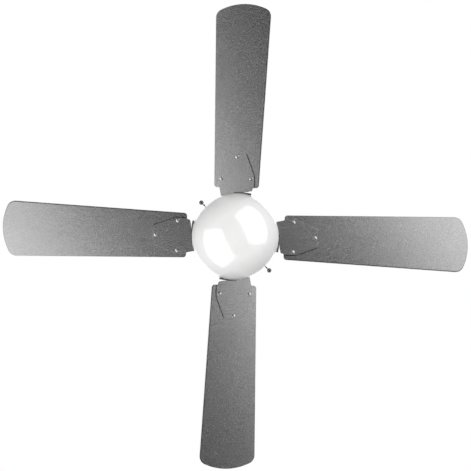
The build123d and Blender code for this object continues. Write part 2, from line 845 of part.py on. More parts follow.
# Plate that the switch housing hangs from, between two nuts on the shaft
switch_housing_radius = plate_radius + seat_gap + switch_housing_wall
switch_screw_z = plate_top - switch_screw_drop
switch_screw_step = 360 / switch_screw_count
switch_angles = [switch_screw_start + switch_screw_step * number for number in range(switch_screw_count)]
switch_bore_start = plate_radius - 2 * plate_rim_wall
switch_screw_planes = [radial_plane(angle, switch_bore_start, switch_screw_z) for angle in switch_angles]
with BuildPart() as switch_plate:
    with BuildSketch(Plane.XY.offset(plate_top - plate_rim_height)):
        Circle(plate_radius)
    extrude(amount=plate_rim_height)
    with BuildSketch(Plane.XY.offset(plate_bottom)):
        Circle(plate_radius - plate_rim_wall)
    extrude(amount=-plate_rim_height, mode=Mode.SUBTRACT)
    with BuildSketch(Plane.XY.offset(plate_bottom)):
        Circle(shaft_radius + seat_gap)
    extrude(amount=plate_thickness, mode=Mode.SUBTRACT)
    with BuildSketch(*switch_screw_planes):
        Circle(small_screw_radius + seat_gap)
    extrude(amount=3 * plate_rim_wall, mode=Mode.SUBTRACT)
switch_plate.part.label = "switch_plate"
export_step(switch_plate.part, "parts/switch_plate.step")

shaft_nut = hex_nut(shaft_nut_width, shaft_nut_height, shaft_radius + seat_gap)
with BuildPart() as shaft_nuts:
    with Locations((0, 0, plate_top), (0, 0, plate_bottom - shaft_nut_height)):
        add(shaft_nut)
shaft_nuts.part.label = "shaft_nuts"
export_step(shaft_nuts.part, "parts/shaft_nuts.step")

# Switch housing: a cup screwed to the plate's rim
reverse_z = plate_top - reverse_drop
reverse_slot_length = reverse_travel + reverse_knob_width + 2 * running_gap
reverse_slot_height = reverse_knob_height + 2 * running_gap
with BuildPart() as switch_housing:
    with BuildSketch(Plane.XY.offset(switch_housing_bottom)):
        Circle(switch_housing_radius)
    extrude(amount=switch_housing_height)
    with BuildSketch(Plane.XY.offset(switch_housing_bottom + switch_housing_wall)):
        Circle(switch_housing_radius - switch_housing_wall)
    extrude(amount=switch_housing_height, mode=Mode.SUBTRACT)
    with BuildSketch(Plane.XY.offset(switch_housing_bottom)):
        Circle(nipple_radius + seat_gap)
    extrude(amount=switch_housing_wall, mode=Mode.SUBTRACT)
    with BuildSketch(*switch_screw_planes):
        Circle(small_screw_radius + screw_play)
    extrude(amount=4 * plate_rim_wall, mode=Mode.SUBTRACT)
    with BuildSketch(radial_plane(90, plate_radius / 2, reverse_z)):
        Rectangle(reverse_slot_length, reverse_slot_height)
    extrude(amount=plate_radius, mode=Mode.SUBTRACT)
switch_housing.part.label = "switch_housing"
export_step(switch_housing.part, "parts/switch_housing.step")

switch_housing_screw = screw(
    small_screw_radius, switch_housing_wall + 2 * plate_rim_wall, small_head_radius, small_head_height
)
with BuildPart() as switch_housing_screws:
    for angle in switch_angles:
        add(radial_plane(angle, switch_housing_radius, switch_screw_z).location * switch_housing_screw)
switch_housing_screws.part.label = "switch_housing_screws"
export_step(switch_housing_screws.part, "parts/switch_housing_screws.step")

# Run capacitor, under the plate
with BuildPart() as capacitor:
    with BuildSketch(Plane.XY.offset(plate_bottom - capacitor_height)) as capacitor_outline:
        with Locations((0, -capacitor_offset)):
            Rectangle(capacitor_length, capacitor_width)
        fillet(capacitor_outline.vertices(), capacitor_edge)
    extrude(amount=capacitor_height)
capacitor.part.label = "capacitor"
export_step(capacitor.part, "parts/capacitor.step")

# Reversing switch: a case inside the housing's wall and a knob that slides in a slot
reverse_body_face = math.sqrt((plate_radius + seat_gap) ** 2 - (reverse_body_length / 2) ** 2) - seat_gap
reverse_knob_foot = reverse_body_face - reverse_body_depth + 2 * running_gap + reverse_body_wall
with BuildPart() as reverse_switch_body:
    with BuildSketch(radial_plane(90, reverse_body_face - reverse_body_depth, reverse_z)):
        Rectangle(reverse_body_length, reverse_body_height)
    extrude(amount=reverse_body_depth)
    with BuildSketch(radial_plane(90, reverse_body_face - reverse_body_depth + reverse_body_wall, reverse_z)):
        Rectangle(reverse_slot_length, reverse_slot_height)
    extrude(amount=reverse_body_depth, mode=Mode.SUBTRACT)
reverse_switch_body.part.label = "reverse_switch_body"
export_step(reverse_switch_body.part, "parts/reverse_switch_body.step")

with BuildPart() as reverse_knob:
    with BuildSketch(radial_plane(90, reverse_knob_foot, reverse_z)):
        with Locations((reverse_travel / 2, 0)):
            Rectangle(reverse_knob_width, reverse_knob_height)
    extrude(amount=switch_housing_radius + reverse_knob_reach - reverse_knob_foot)
reverse_knob.part.label = "reverse_knob"
export_step(reverse_knob.part, "parts/reverse_knob.step")

# Light pan: a shallow drawn dish, open below, with inward tabs that carry the glass
chain_radius = chain_diameter / 2
guide_bore_radius = chain_radius + running_gap
guide_radius = guide_bore_radius + guide_wall
pan_inner_radius = pan_radius - pan_wall
pan_tab_radius = pan_inner_radius - pan_tab_depth
guide_planes = [radial_plane(angle, pan_radius - guide_stub, guide_z) for angle in chain_directions.values()]
pan_tab_outer = pan_inner_radius + pan_wall / 2
pan_tab = ring_sector(pan_tab_radius, pan_tab_outer, tab_top - pan_tab_height, pan_tab_height, lug_arc)
with BuildPart() as light_pan:
    with BuildSketch(Plane.XY.offset(pan_bottom)):
        Circle(pan_radius)
    extrude(amount=pan_height)
    chamfer(light_pan.faces().sort_by(Axis.Z)[-1].edges(), pan_edge)
    offset(amount=-pan_wall, openings=light_pan.faces().sort_by(Axis.Z)[0])
    with PolarLocations(0, lug_count):
        add(pan_tab)
    with BuildSketch(Plane.XY.offset(pan_inside)):
        Circle(nipple_radius + seat_gap)
    extrude(amount=pan_wall, mode=Mode.SUBTRACT)
    with BuildSketch(*guide_planes):
        Circle(guide_radius + seat_gap)
    extrude(amount=2 * guide_stub, mode=Mode.SUBTRACT)
light_pan.part.label = "light_pan"
export_step(light_pan.part, "parts/light_pan.step")

# Hollow threaded nipple that ties housing, pan and lamp bracket together, with its two nuts
nipple_top = switch_housing_bottom + switch_housing_wall + nipple_nut_height + nipple_end
nipple_bottom = pan_inside - lamp_bracket_thickness - nipple_nut_height - nipple_end
nipple_nut = hex_nut(nipple_nut_width, nipple_nut_height, nipple_radius + seat_gap)
with BuildPart() as lamp_nipple:
    with BuildSketch(Plane.XY.offset(nipple_bottom)):
        Circle(nipple_radius)
        Circle(nipple_bore_radius, mode=Mode.SUBTRACT)
    extrude(amount=nipple_top - nipple_bottom)
lamp_nipple.part.label = "lamp_nipple"
export_step(lamp_nipple.part, "parts/lamp_nipple.step")

with BuildPart() as nipple_nuts:
    with Locations(
        (0, 0, switch_housing_bottom + switch_housing_wall),
        (0, 0, pan_inside - lamp_bracket_thickness - nipple_nut_height),
    ):
        add(nipple_nut)
nipple_nuts.part.label = "nipple_nuts"
export_step(nipple_nuts.part, "parts/nipple_nuts.step")

# Pull switches: a case hung in the pan, with a riveted post for the drum that the chain winds on
drum_centre = (pull_switch_circle, -drum_radius)
drum_bottom = guide_z - drum_height / 2
drum_flange_radius = drum_radius + drum_flange
pull_switch_bottom = pan_inside - pull_switch_height
with BuildPart() as switch_case:
    with BuildSketch(Plane.XY.offset(pull_switch_bottom)):
        with Locations(drum_centre):
            Rectangle(pull_switch_width, pull_switch_width)
    extrude(amount=pull_switch_height)
    with BuildSketch(Plane.XY.offset(pull_switch_bottom)):
        with Locations(drum_centre):
            Circle(drum_flange_radius + 2 * running_gap)
            Circle(drum_post_radius, mode=Mode.SUBTRACT)
    extrude(amount=pull_switch_height - pull_switch_wall, mode=Mode.SUBTRACT)
    with BuildSketch(Plane.XY.offset(drum_bottom - running_gap)):
        with Locations(drum_centre):
            Circle(drum_post_radius + rivet_lip)
    extrude(amount=-rivet_thickness)
    with BuildSketch(radial_plane(0, pull_switch_circle, guide_z)):
        Circle(guide_bore_radius)
    extrude(amount=pull_switch_width, mode=Mode.SUBTRACT)

with BuildPart() as switch_drum:
    with BuildSketch(Plane.XZ):
        with BuildLine():
            Polyline(
                (drum_post_radius + seat_gap, drum_bottom),
                (drum_flange_radius, drum_bottom),
                (drum_flange_radius, drum_bottom + drum_flange_thickness),
                (drum_radius - chain_radius, drum_bottom + drum_height / 3),
                (drum_radius - chain_radius, drum_bottom + 2 * drum_height / 3),
                (drum_flange_radius, drum_bottom + drum_height - drum_flange_thickness),
                (drum_flange_radius, drum_bottom + drum_height),
                (drum_post_radius + seat_gap, drum_bottom + drum_height),
                close=True,
            )
        make_face()
    revolve(axis=Axis.Z)

# Chain guides: an elbow through the pan's wall, with a collar outside it
with BuildPart() as elbow:
    with BuildLine():
        Polyline(
            (pan_radius - guide_stub, 0, guide_z),
            (chain_circle - guide_bend, 0, guide_z),
            (chain_circle, 0, guide_z - guide_bend),
            (chain_circle, 0, leg_bottom),
        )
    with BuildSketch(radial_plane(0, pan_radius - guide_stub, guide_z)):
        Circle(guide_radius)
        Circle(guide_bore_radius, mode=Mode.SUBTRACT)
    sweep(transition=Transition.RIGHT)
    with BuildSketch(radial_plane(0, pan_radius, guide_z)):
        Circle(guide_collar_radius)
        Circle(guide_bore_radius, mode=Mode.SUBTRACT)
    extrude(amount=guide_collar_thickness)
with BuildPart() as chain_guides:
    for angle in chain_directions.values():
        add(elbow.part.rotate(Axis.Z, angle))
chain_guides.part.label = "chain_guides"
export_step(chain_guides.part, "parts/chain_guides.step")

# Pull chains, hanging straight from their guides, each with a drop-shaped fob
with BuildPart() as hanging_chain:
    with BuildSketch(Plane.XY.offset(chain_bottom)):
        with Locations((chain_circle, 0)):
            Circle(chain_radius)
    extrude(amount=chain_length)

with BuildPart() as fob:
    with BuildSketch(Plane.XZ):
        with BuildLine():
            Polyline(
                (0, chain_bottom - fob_length),
                (0, chain_bottom),
                (fob_top_radius, chain_bottom),
                (fob_radius, chain_bottom - fob_length + fob_radius),
            )
            CenterArc((0, chain_bottom - fob_length + fob_radius), fob_radius, -90, 90)
        make_face()
    revolve(axis=Axis.Z)

for use, angle in chain_directions.items():
    with BuildPart() as pull_switch_body:
        add(switch_case.part.rotate(Axis.Z, angle))
    pull_switch_body.part.label = f"{use}_switch_body"
    export_step(pull_switch_body.part, f"parts/{use}_switch_body.step")

    with BuildPart() as pull_switch_drum:
        add((Pos(*drum_centre) * switch_drum.part).rotate(Axis.Z, angle))
    pull_switch_drum.part.label = f"{use}_switch_drum"
    export_step(pull_switch_drum.part, f"parts/{use}_switch_drum.step")

    with BuildPart() as pull_chain:
        add(hanging_chain.part.rotate(Axis.Z, angle))
    pull_chain.part.label = f"{use}_chain"
    export_step(pull_chain.part, f"parts/{use}_chain.step")

    with BuildPart() as chain_fob:
        add((Pos(chain_circle, 0) * fob.part).rotate(Axis.Z, angle))
    chain_fob.part.label = f"{use}_chain_fob"
    export_step(chain_fob.part, f"parts/{use}_chain_fob.step")

# Lamp bracket: a bent strap under the pan, with a holder on each arm
lamp_arm_bottom = lamp_z - lamp_holder_radius
with BuildPart() as lamp_bracket:
    with BuildSketch(Plane.XY.offset(lamp_arm_bottom)):
        Rectangle(lamp_bracket_length, lamp_bracket_width)
    extrude(amount=pan_inside - lamp_arm_bottom)
    with BuildSketch(Plane.XY.offset(lamp_arm_bottom)):
        Rectangle(lamp_bracket_length - 2 * lamp_bracket_thickness, lamp_bracket_width)
    extrude(amount=pan_inside - lamp_arm_bottom - lamp_bracket_thickness, mode=Mode.SUBTRACT)
    with BuildSketch(Plane.XY.offset(pan_inside - lamp_bracket_thickness)):
        Circle(nipple_radius + seat_gap)
    extrude(amount=lamp_bracket_thickness, mode=Mode.SUBTRACT)
lamp_bracket.part.label = "lamp_bracket"
export_step(lamp_bracket.part, "parts/lamp_bracket.step")

holder_back = lamp_bracket_length / 2
holder_front = holder_back + lamp_holder_length
with BuildPart() as lamp_holders:
    for side in (0, 180):
        with BuildSketch(radial_plane(side, holder_back, lamp_z)):
            Circle(lamp_holder_radius)
        extrude(amount=lamp_holder_length)
        with BuildSketch(radial_plane(side, holder_back + lamp_holder_wall, lamp_z)):
            Circle(bulb_base_radius + running_gap)
        extrude(amount=lamp_holder_length, mode=Mode.SUBTRACT)
lamp_holders.part.label = "lamp_holders"
export_step(lamp_holders.part, "parts/lamp_holders.step")

bulb_start = holder_front + running_gap
with BuildPart() as bulb_bases:
    for side in (0, 180):
        with BuildSketch(radial_plane(side, holder_back + lamp_holder_wall, lamp_z)):
            Circle(bulb_base_radius)
        extrude(amount=bulb_start - holder_back - lamp_holder_wall)
bulb_bases.part.label = "bulb_bases"
export_step(bulb_bases.part, "parts/bulb_bases.step")

with BuildPart() as one_bulb:
    with BuildSketch(Plane.XZ):
        with BuildLine():
            Polyline(
                (bulb_start, lamp_z),
                (bulb_start, lamp_z + bulb_neck_radius),
                (bulb_start + bulb_neck_length, lamp_z + bulb_neck_radius),
                (bulb_start + bulb_neck_length + bulb_cone, lamp_z + bulb_radius),
                (bulb_start + bulb_length - bulb_cone, lamp_z + bulb_radius),
                (bulb_start + bulb_length, lamp_z + bulb_tip_radius),
                (bulb_start + bulb_length, lamp_z),
                close=True,
            )
        make_face()
    revolve(axis=Axis((0, 0, lamp_z), (1, 0, 0)))
with BuildPart() as lamp_bulbs:
    with PolarLocations(0, 2):
        add(one_bulb.part)
lamp_bulbs.part.label = "lamp_bulbs"
export_step(lamp_bulbs.part, "parts/lamp_bulbs.step")

# Collar cemented round the glass's neck, with lugs that turn on to the pan's tabs
collar_inner_radius = glass_neck_radius + seat_gap
collar_radius = collar_inner_radius + collar_wall
lug = ring_sector(collar_radius - collar_wall / 2, collar_radius + lug_depth, lug_bottom, lug_height, lug_arc)
with BuildPart() as glass_collar:
    with BuildSketch(Plane.XY.offset(neck_top - collar_height)):
        Circle(collar_radius)
        Circle(collar_inner_radius, mode=Mode.SUBTRACT)
    extrude(amount=collar_height)
    with PolarLocations(0, lug_count):
        add(lug)
glass_collar.part.label = "glass_collar"
export_step(glass_collar.part, "parts/glass_collar.step")

# Glass bowl: a neck, a rounded shoulder and a bowl of two arcs that meet smoothly, blown to one wall
bowl_side_centre = glass_radius - bowl_side_radius
bowl_fall = glass_depth - bowl_side_radius
bowl_bottom_radius = bowl_side_radius + (bowl_side_centre**2 + bowl_fall**2) / (2 * bowl_fall)
bowl_join = math.degrees(math.atan2(bowl_side_centre, bowl_bottom_radius - glass_depth))
shoulder_centre = (glass_radius - glass_shoulder, glass_middle)
glass_bottom = glass_middle - glass_depth
with BuildPart() as glass_dome:
    with BuildSketch(Plane.XZ):
        with BuildLine():
            base = JernArc((0, glass_bottom), (1, 0), bowl_bottom_radius, bowl_join)
            side = JernArc(base @ 1, base % 1, bowl_side_radius, 90 - bowl_join)
            shoulder = CenterArc(shoulder_centre, glass_shoulder, 0, shoulder_turn)
            Polyline(shoulder @ 1, (glass_neck_radius, neck_top), (0, neck_top), (0, glass_bottom))
        make_face()
    revolve(axis=Axis.Z)
    offset(amount=-glass_wall, openings=glass_dome.faces().sort_by(Axis.Z)[-1])
glass_dome.part.label = "glass_dome"
export_step(glass_dome.part, "parts/glass_dome.step")
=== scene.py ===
"""Ceiling fan seen from straight below, in a bright studio. Metres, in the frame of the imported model."""

import math

import bmesh
import bpy
from mathutils import Matrix, Vector


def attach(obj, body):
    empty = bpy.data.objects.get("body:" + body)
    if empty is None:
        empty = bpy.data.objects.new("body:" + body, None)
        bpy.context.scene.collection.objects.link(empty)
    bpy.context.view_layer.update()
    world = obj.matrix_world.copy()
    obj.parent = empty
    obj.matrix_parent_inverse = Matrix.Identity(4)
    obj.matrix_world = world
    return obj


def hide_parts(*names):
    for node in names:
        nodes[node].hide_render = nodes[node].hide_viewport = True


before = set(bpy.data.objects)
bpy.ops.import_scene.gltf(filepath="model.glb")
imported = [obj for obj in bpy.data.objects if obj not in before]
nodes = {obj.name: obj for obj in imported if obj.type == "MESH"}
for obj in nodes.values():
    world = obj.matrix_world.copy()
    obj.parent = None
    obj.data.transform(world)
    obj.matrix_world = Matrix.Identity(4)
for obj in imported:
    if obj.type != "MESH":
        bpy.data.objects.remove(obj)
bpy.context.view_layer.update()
collection = bpy.context.scene.collection

MM = 0.001

# Sizes that repeat the CAD model's, in millimetres, with angles in radians
blade_count = 4
blade_lead = 2.5
blade_pitch = math.radians(14)
bell_underside = -244
neck_width = 76.6
pad_drop = neck_width * math.sin(blade_pitch)
iron_thickness = 3
iron_inner = 44
iron_inner_corner = 8
iron_width = 83.6
iron_end_width = 43
chain_angle = math.radians(42.66)
chain_circle = 96.4
chain_top = -302.3
chain_length = 162
chain_diameter = 2.4
bowl_middle = -329.65
bowl_depth = 88
bowl_radius = 94.5
bowl_side_radius = 72
bowl_shoulder_radius = 14
bowl_neck_radius = 83.6
bowl_top = -304
bowl_wall = 3

# Screws: head radius, head height, shank radius, shank length
iron_screw = (5.5, 3, 3, 7.5)
blade_screw = (4.4, 2.2, 2.2, 7)
canopy_screw = (4, 2.4, 2, 6.2)
switch_housing_screw = (4, 2.4, 2, 5.1)
housing_screw = (4, 2.4, 2, 6)

# Screw seats: (x, across) on an iron, or (angle in degrees, radius, height) round the fan
iron_screw_spots = ((60, -17), (60, 17))
blade_screw_spots = ((130, -34.5), (130, 34.5), (179.5, 0))
canopy_screw_spots = ((0, 65, -10), (180, 65, -10))
switch_housing_screw_spots = ((30, 58.55, -265), (150, 58.55, -265), (270, 58.55, -265))
housing_screw_spots = ((45, 26, -173), (135, 26, -173), (225, 26, -173), (315, 26, -173))

# The stamped irons' own outline: (x, across) places of the slanted bend and of both sides of the slit, then
# the x where the neck ends, the flare ends, the taper starts and the iron ends
iron_bend_start = (80, -32)
iron_bend_end = (99.8, -0.9)
iron_flange_edge = ((100.3, 2), (100.3, 17), (99.5, 27), (98.2, 36.1))
iron_pad_edge = ((99.8, 17), (100.7, 26), (103, 37.2))
iron_profile = (108, 112, 136, 186)
iron_corner = 4
iron_edge_round = 0.3

# The bowl's ground rim, from outside to inside: (distance in from the neck's outside, distance below the top)
bowl_ground_rim = ((0, 0.8), (0.3, 0.2), (0.8, 0), (2.2, 0), (2.7, 0.2), (3, 0.8))


# Meshes

def add_piece(name, mesh, body, material, smooth=True):
    piece = bpy.data.objects.new(name, mesh)
    collection.objects.link(piece)
    mesh.materials.append(material)
    for face in mesh.polygons:
        face.use_smooth = smooth
    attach(piece, body)
    return piece


def to_mesh(name, bm):
    mesh = bpy.data.meshes.new(name)
    bm.to_mesh(mesh)
    bm.free()
    return mesh


def lathe(name, profile, segments):
    """Turns a profile of (radius, height) points round Z. A point on the axis closes that end."""
    bm = bmesh.new()
    turns = [2 * math.pi * step / segments for step in range(segments)]
    rings = []
    for radius, height in profile:
        if radius < 1e-7:
            rings.append([bm.verts.new((0, 0, height))])
        else:
            rings.append([bm.verts.new((radius * math.cos(t), radius * math.sin(t), height)) for t in turns])
    for lower, upper in zip(rings, rings[1:]):
        for step in range(segments):
            after = (step + 1) % segments
            corners = [lower[step % len(lower)], lower[after % len(lower)],
                       upper[after % len(upper)], upper[step % len(upper)]]
            unique = list(dict.fromkeys(corners))
            if len(unique) > 2:
                bm.faces.new(unique)
    bmesh.ops.recalc_face_normals(bm, faces=bm.faces)
    return to_mesh(name, bm)


def arc(centre, radius, start, end, steps):
    """Points of an arc in a (radius, height) profile, in degrees."""
    angles = [math.radians(start + (end - start) * step / steps) for step in range(steps + 1)]
    return [(centre[0] + radius * math.cos(a), centre[1] + radius * math.sin(a)) for a in angles]


def many(name, mesh, places):
    """One mesh holding a copy of mesh at each place."""
    bm = bmesh.new()
    for place in places:
        copy = mesh.copy()
        copy.transform(place)
        bm.from_mesh(copy)
        bpy.data.meshes.remove(copy)
    return to_mesh(name, bm)


def helper_object(mesh):
    helper = bpy.data.objects.new(mesh.name, mesh)
    collection.objects.link(helper)
    return helper


def add_boolean(target, operation, other):
    modifier = target.modifiers.new(operation.lower(), "BOOLEAN")
    modifier.operation = operation
    modifier.solver = "EXACT"
    modifier.object = other
    return modifier


def modified_mesh(helpers):
    """The first helper's mesh with its modifiers applied. The helpers are removed."""
    bpy.context.view_layer.update()
    graph = bpy.context.evaluated_depsgraph_get()
    mesh = bpy.data.meshes.new_from_object(helpers[0].evaluated_get(graph))
    for helper in helpers:
        bpy.data.objects.remove(helper)
    return mesh


def turned(degrees):
    return Matrix.Rotation(math.radians(degrees), 4, "Z")


def moved(x, y, z):
    return Matrix.Translation(Vector((x, y, z)) * MM)


# Materials

def connect(tree, socket, value):
    """Links another node's output to a socket, or sets the socket to a plain value."""
    if isinstance(value, bpy.types.NodeSocket):
        tree.links.new(value, socket)
    else:
        socket.default_value = value


def node(tree, kind, settings=None, **inputs):
    made = tree.nodes.new(kind)
    for label, value in (settings or {}).items():
        setattr(made, label, value)
    for label, value in inputs.items():
        connect(tree, made.inputs[label.replace("_", " ")], value)
    return made


def maths(tree, operation, first, second):
    made = node(tree, "ShaderNodeMath", {"operation": operation})
    connect(tree, made.inputs[0], first)
    connect(tree, made.inputs[1], second)
    return made.outputs["Value"]


def times(tree, first, second):
    return maths(tree, "MULTIPLY", first, second)


def vector_maths(tree, operation, *values, result="Vector"):
    made = node(tree, "ShaderNodeVectorMath", {"operation": operation})
    for socket, value in zip(made.inputs, values):
        connect(tree, socket, value)
    return made.outputs[result]


def mix_shaders(tree, factor, first, second):
    made = node(tree, "ShaderNodeMixShader", Fac=factor)
    tree.links.new(first, made.inputs[1])
    tree.links.new(second, made.inputs[2])
    return made.outputs["Shader"]


def shader(name, colour, roughness, metallic=0.0, **sockets):
    material = bpy.data.materials.new(name)
    material.use_nodes = True
    material.diffuse_color = (*colour, 1)
    surface = material.node_tree.nodes["Principled BSDF"]
    surface.inputs["Base Color"].default_value = (*colour, 1)
    surface.inputs["Roughness"].default_value = roughness
    surface.inputs["Metallic"].default_value = metallic
    for label, value in sockets.items():
        surface.inputs[label.replace("_", " ")].default_value = value
    return material, material.node_tree, surface


def place_of(tree, stretch=(1, 1, 1)):
    """Object coordinates in metres, stretched where a finish runs one way."""
    coordinates = tree.nodes.new("ShaderNodeTexCoord").outputs["Object"]
    if stretch == (1, 1, 1):
        return coordinates
    return node(tree, "ShaderNodeMapping", Vector=coordinates, Scale=stretch).outputs["Vector"]


def noise(tree, where, scale, detail=3.0, roughness=0.5):
    made = node(tree, "ShaderNodeTexNoise", Vector=where, Scale=scale, Detail=detail, Roughness=roughness)
    return made.outputs["Fac"]


def spread(tree, value, low, high, start=0.3, end=0.7):
    """Maps a value from start to end onto low to high, and keeps it within them."""
    limits = {"From_Min": start, "From_Max": end, "To_Min": low, "To_Max": high}
    return node(tree, "ShaderNodeMapRange", Value=value, **limits).outputs["Result"]


def shade(tree, colour, factor):
    """A colour made lighter or darker by a factor near 1."""
    made = node(tree, "ShaderNodeVectorMath", {"operation": "SCALE"}, Scale=factor)
    made.inputs[0].default_value = colour
    return made.outputs["Vector"]


def bump(tree, surface, height, distance):
    made = node(tree, "ShaderNodeBump", Height=height, Distance=distance, Strength=1.0)
    tree.links.new(made.outputs["Normal"], surface.inputs["Normal"])


def grainy(name, colour, roughness, metallic=0.0, patch=60, patch_depth=0.05, grain=900, grain_depth=0.06,
           relief=0.00003, rough_spread=0.06, stretch=(1, 1, 1), **sockets):
    """A finish with broad soft patches and a fine grain in its colour, gloss and relief."""
    material, tree, surface = shader(name, colour, roughness, metallic, **sockets)
    where = place_of(tree, stretch)
    broad = noise(tree, where, patch)
    fine = noise(tree, where, grain, detail=2)
    tone = times(tree, spread(tree, broad, 1 - patch_depth, 1 + patch_depth),
                 spread(tree, fine, 1 - grain_depth, 1 + grain_depth))
    tree.links.new(shade(tree, colour, tone), surface.inputs["Base Color"])
    tree.links.new(spread(tree, broad, roughness - rough_spread, roughness + rough_spread),
                   surface.inputs["Roughness"])
    bump(tree, surface, fine, relief)
    return material


def banded(name, colour, roughness, metallic, kind, scale, depth, relief, **sockets):
    """A finish of fine regular lines: laminations or windings."""
    material, tree, surface = shader(name, colour, roughness, metallic, **sockets)
    where = place_of(tree)
    lines = node(tree, "ShaderNodeTexWave", kind, Vector=where, Scale=scale, Distortion=0.15, Detail=1.0)
    value = lines.outputs["Fac"]
    tone = times(tree, spread(tree, value, 1 - depth, 1 + depth, 0, 1),
                 spread(tree, noise(tree, where, 80), 0.93, 1.07))
    tree.links.new(shade(tree, colour, tone), surface.inputs["Base Color"])
    tree.links.new(spread(tree, noise(tree, where, 300), roughness - 0.05, roughness + 0.05),
                   surface.inputs["Roughness"])
    bump(tree, surface, value, relief)
    return material


def painted_edge_shade(tree, radius, trailing_shade, rim, trail_range):
    """Painted shade: factors below 1 along a plate's edges, darkest along the lower edge that trails as the
    rotor turns.
    """
    flat_range = (0.80, 0.97)
    rounded = node(tree, "ShaderNodeBevel", {"samples": 6}, Radius=radius).outputs["Normal"]
    face_normal = tree.nodes.new("ShaderNodeNewGeometry").outputs["True Normal"]
    flatness = vector_maths(tree, "DOT_PRODUCT", rounded, face_normal, result="Value")
    settings = {"vector_type": "NORMAL", "convert_from": "WORLD", "convert_to": "OBJECT"}
    local = node(tree, "ShaderNodeVectorTransform", settings, Vector=rounded).outputs["Vector"]
    forward = vector_maths(tree, "NORMALIZE", vector_maths(tree, "CROSS_PRODUCT", (0, 0, -1), place_of(tree)))
    lead = vector_maths(tree, "DOT_PRODUCT", local, forward, result="Value")
    upward = maths(tree, "MAXIMUM", node(tree, "ShaderNodeSeparateXYZ", Vector=local).outputs["Z"], 0)
    # Painted shade: the colour darkens at the edges, least where a face turns upwards or forwards
    return times(tree, spread(tree, maths(tree, "ADD", upward, lead), trailing_shade, 1, *trail_range),
                 spread(tree, flatness, rim, 1, *flat_range))


def plate_finish_and_edge_shade(name, colour, roughness, grain_depth=0.38, trailing_shade=0.02, rim=0.6, radius=0.0034,
                 trail_range=(-0.12, 0.16)):
    """Silver with a fine sparkle, and painted shade: a dark band round the edge."""
    material, tree, surface = shader(name, colour, roughness, 1.0)
    where = place_of(tree)
    broad = noise(tree, where, 18, detail=4)
    fine = noise(tree, where, 620, detail=3, roughness=0.7)
    flakes = node(tree, "ShaderNodeTexVoronoi", Vector=where, Scale=900).outputs["Distance"]
    tone = times(tree, spread(tree, broad, 0.98, 1.02),
                 times(tree, spread(tree, fine, 1 - grain_depth, 1 + grain_depth),
                       spread(tree, flakes, 1.14, 0.86, 0, 0.8)))
    # Painted shade along the edges darkens the colour
    tone = times(tree, tone, painted_edge_shade(tree, radius, trailing_shade, rim, trail_range))
    tree.links.new(shade(tree, colour, tone), surface.inputs["Base Color"])
    tree.links.new(spread(tree, fine, roughness - 0.09, roughness + 0.09), surface.inputs["Roughness"])
    bump(tree, surface, fine, 0.00004)
    return material


def opal_with_painted_side_shade(name, colour):
    """Cased white glass with painted shade: greyer up the sides, where less light comes back out of the bowl.
    """
    painted_side_shade_level = 0.74
    painted_side_shade_heights = (-0.404, -0.336)
    material, tree, surface = shader(name, colour, 0.012, Specular_IOR_Level=0.75)
    where = place_of(tree)
    height = node(tree, "ShaderNodeSeparateXYZ", Vector=where).outputs["Z"]
    # Painted shade: the colour greys up the sides, from near the bottom to the widest part
    depth = spread(tree, height, 1, painted_side_shade_level, *painted_side_shade_heights)
    haze = times(tree, spread(tree, noise(tree, where, 14), 0.99, 1.01),
                 spread(tree, noise(tree, where, 260), 0.995, 1.005))
    tree.links.new(shade(tree, colour, times(tree, depth, haze)), surface.inputs["Base Color"])
    tree.links.new(spread(tree, noise(tree, where, 14), 0.008, 0.016), surface.inputs["Roughness"])
    bump(tree, surface, noise(tree, where, 90), 0.000004)
    return material


silver_grey = (0.33, 0.33, 0.33)
silver = grainy("silver_enamel", silver_grey, 0.27, 1.0, patch=45, patch_depth=0.02, grain=850,
                grain_depth=0.12, rough_spread=0.02)
# Blades and irons: silver with painted shade along their edges
blade_silver_and_edge_shade = plate_finish_and_edge_shade("silver_foil_painted_edge_shade", (0.345, 0.345, 0.345), 0.232)
iron_silver_and_edge_shade = plate_finish_and_edge_shade("silver_stamping_painted_edge_shade", silver_grey, 0.25, grain_depth=0.22, rim=0.95, radius=0.0022,
                           trail_range=(-0.3, -0.06))
chrome = grainy("polished_nickel", (0.30, 0.30, 0.31), 0.12, 1.0, patch=120, patch_depth=0.02, grain=2200,
                grain_depth=0.02, relief=0.000002, rough_spread=0.03)
# Black in the screws' cross recesses: painted shade in the hollows
recess_painted_shade = grainy("recess_painted_shade", (0.012, 0.012, 0.012), 0.5, 0.5, patch=400, patch_depth=0.1, grain=2600,
                      grain_depth=0.2, relief=0.00001)
# Nickel for the chains, their guides and fobs, darkened as a painted reflection of dark surroundings
nickel_with_painted_dark_reflection = grainy("nickel_with_painted_dark_reflection", (0.07, 0.07, 0.075), 0.10, 1.0, patch=120, patch_depth=0.04, grain=2200,
                     grain_depth=0.04, relief=0.000002, rough_spread=0.03)
steel = grainy("zinc_plate", (0.60, 0.60, 0.61), 0.34, 1.0, patch=90, patch_depth=0.08, grain=1500,
               grain_depth=0.07, relief=0.00001, stretch=(1, 1, 4))
cast = grainy("cast_metal", (0.33, 0.33, 0.34), 0.55, 0.9, patch=140, patch_depth=0.1, grain=1100,
              grain_depth=0.15, relief=0.00008)
laminated = banded("laminations", (0.30, 0.30, 0.32), 0.45, 0.9,
                   {"wave_type": "BANDS", "bands_direction": "Z"}, 320, 0.35, 0.00008)
copper = banded("copper_windings", (0.62, 0.26, 0.12), 0.30, 0.9,
                {"wave_type": "RINGS", "rings_direction": "Z"}, 260, 0.4, 0.0002, Coat_Weight=0.5)
nylon = grainy("black_nylon", (0.028, 0.028, 0.030), 0.42, patch=150, patch_depth=0.15, grain=1600,
               grain_depth=0.15)
grey = grainy("grey_moulding", (0.35, 0.35, 0.36), 0.48, patch=120, grain=1800, grain_depth=0.05)
